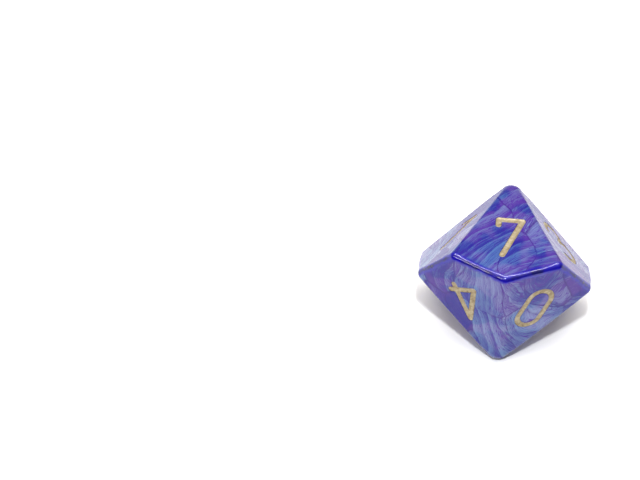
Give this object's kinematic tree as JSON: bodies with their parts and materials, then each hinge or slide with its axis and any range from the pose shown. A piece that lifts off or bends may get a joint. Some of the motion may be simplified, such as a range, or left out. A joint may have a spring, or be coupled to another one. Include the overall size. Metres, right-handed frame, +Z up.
{
  "type": "ten-sided die",
  "caption": "Pentagonal trapezohedron gaming die of swirled plastic, with softly rounded edges and gold paint in the numeral engraved on each kite-shaped face.",
  "frame": {"origin": "on the table straight below the middle of the die, which is the bottom centre of its box", "axes": "+Z up through the middle of the level top face, numbered 7; +Y towards the corner that the top of that 7 points to; -Z out of the face that the die rests on, numbered 2"},
  "size_m": [0.0222, 0.0176, 0.016],
  "materials": {
    "swirled_plastic": "polished, marbled deep blue, violet and pale steel blue",
    "gold_paint": "dried gold paint, satin and slightly mottled"
  },
  "bodies": {
    "root": {"die_body": "swirled_plastic", "paint_numeral_0": "gold_paint", "paint_numeral_1": "gold_paint", "paint_numeral_2": "gold_paint", "paint_numeral_3": "gold_paint", "paint_numeral_4": "gold_paint", "paint_numeral_5": "gold_paint", "paint_numeral_6": "gold_paint", "paint_numeral_7": "gold_paint", "paint_numeral_8": "gold_paint", "paint_numeral_9": "gold_paint", "paint_underline_6": "gold_paint", "paint_underline_9": "gold_paint"}
  },
  "joints": []
}
